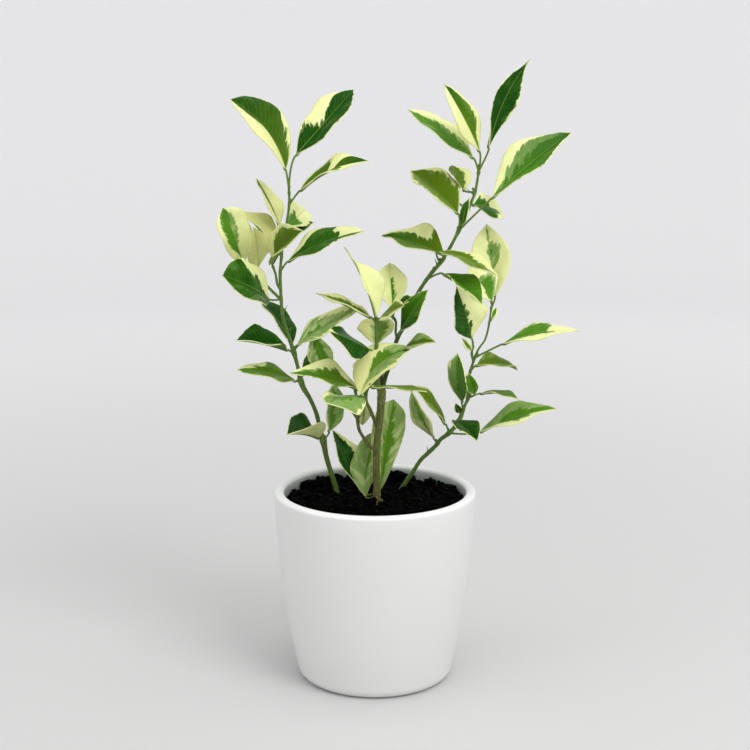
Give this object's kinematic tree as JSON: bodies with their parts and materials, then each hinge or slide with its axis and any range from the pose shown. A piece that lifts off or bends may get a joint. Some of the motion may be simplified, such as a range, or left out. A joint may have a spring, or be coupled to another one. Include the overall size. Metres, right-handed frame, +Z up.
{
  "type": "potted calamondin",
  "caption": "Small variegated citrus shrub with leafy stems growing from dark soil in a plain round white pot.",
  "frame": {"origin": "centre of the pot's flat underside", "axes": "+Z up along the pot's axis, -Y towards the picture's viewer, +X to the viewer's right"},
  "size_m": [0.2251, 0.1292, 0.3934],
  "materials": {
    "glazed_ceramic": "smooth white glaze",
    "potting_soil": "crumbly, matt, nearly black",
    "leaf_left": "glossy leaves in green and cream on a green stem",
    "leaf_centre": "glossy leaves in green and cream on a brown barked trunk",
    "leaf_right": "glossy leaves in green and cream on an olive stem"
  },
  "bodies": {
    "root": {"pot": "glazed_ceramic", "soil": "potting_soil", "leafy_stem_left": "leaf_left", "leafy_stem_centre": "leaf_centre", "leafy_stem_right": "leaf_right"}
  },
  "joints": []
}
